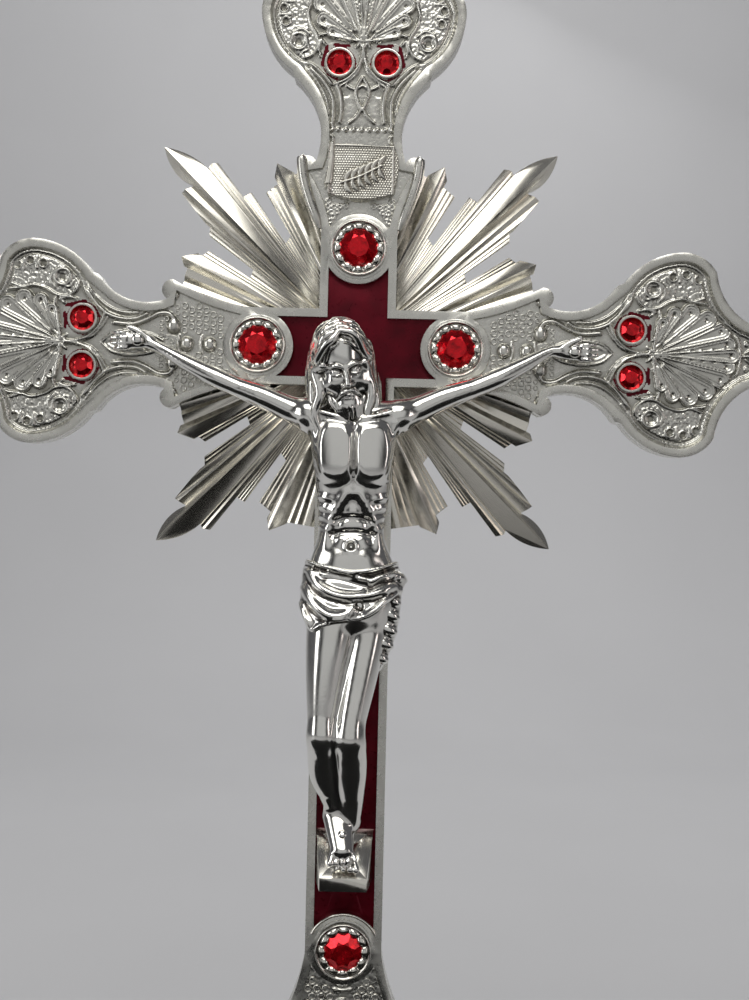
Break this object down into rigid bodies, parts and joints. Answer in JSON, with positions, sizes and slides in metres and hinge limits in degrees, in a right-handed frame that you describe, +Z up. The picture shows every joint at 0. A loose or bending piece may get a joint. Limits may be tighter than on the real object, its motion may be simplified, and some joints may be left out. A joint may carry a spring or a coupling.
{
  "type": "processional cross",
  "caption": "Budded processional cross head with ray bursts, set gems and a small figure, on a round knop and a clamping staff socket.",
  "frame": {"origin": "centre of the staff socket's mouth", "axes": "+Z up the cross, from the staff socket to the top arm; the figure faces -Y; +X to the viewer's right"},
  "size_m": [0.336, 0.0689, 0.703],
  "materials": {
    "satin_silver": "satin nickel-silver casting with dark recesses",
    "bright_silver": "polished silver plate",
    "mirror_silver": "mirror-polished silver plate",
    "red_enamel": "dark translucent red, glossy",
    "ruby_glass": "faceted ruby-red glass with a foil back",
    "steel_fixings": "plain steel fixings",
    "brass_pad": "machined brass"
  },
  "bodies": {
    "cross": {"back_cover": "satin_silver", "clamp_boss": "bright_silver", "corpus": "mirror_silver", "corpus_screw": "steel_fixings", "cover_screws": "steel_fixings", "foot_rest": "mirror_silver", "foot_rest_screw": "steel_fixings", "front_frame": "satin_silver", "gem_cup_bottom": "bright_silver", "gem_cup_left": "bright_silver", "gem_cup_right": "bright_silver", "gem_cup_top": "bright_silver", "inlay_panel": "red_enamel", "knop_band": "bright_silver", "knop_lower_shell": "bright_silver", "knop_upper_shell": "bright_silver", "large_gem_bottom": "ruby_glass", "large_gem_left": "ruby_glass", "large_gem_right": "ruby_glass", "large_gem_top": "ruby_glass", "lower_collar": "bright_silver", "nail_feet": "mirror_silver", "nail_left_hand": "mirror_silver", "nail_right_hand": "mirror_silver", "ray_screws": "steel_fixings", "rays_lower_left": "bright_silver", "rays_lower_right": "bright_silver", "rays_upper_left": "bright_silver", "rays_upper_right": "bright_silver", "small_gem_bottom_1": "ruby_glass", "small_gem_bottom_2": "ruby_glass", "small_gem_left_1": "ruby_glass", "small_gem_left_2": "ruby_glass", "small_gem_right_1": "ruby_glass", "small_gem_right_2": "ruby_glass", "small_gem_top_1": "ruby_glass", "small_gem_top_2": "ruby_glass", "socket": "bright_silver", "stem": "steel_fixings", "tang_screws": "steel_fixings", "tie_nut": "steel_fixings", "tie_washer": "steel_fixings", "title_pins": "steel_fixings", "title_plate": "satin_silver", "upper_collar": "bright_silver"},
    "pad_body": {"clamp_pad": "brass_pad"},
    "screw_body": {"thumb_screw": "bright_silver"}
  },
  "joints": [
    {"name": "clamp_travel", "type": "slide", "parent": "cross", "child": "pad_body", "axis": [0, -1, 0], "range_m": [0, 0.00298]},
    {"name": "thumb_screw_turn", "type": "hinge", "parent": "pad_body", "child": "screw_body", "pos_m": [0, 0.0164, 0.03], "axis": [0, -1, 0], "range_deg": [0, 860]}
  ],
  "couplings": [
    {"joint": "thumb_screw_turn", "follows": "clamp_travel", "rad_per_m": 5026.5}
  ]
}
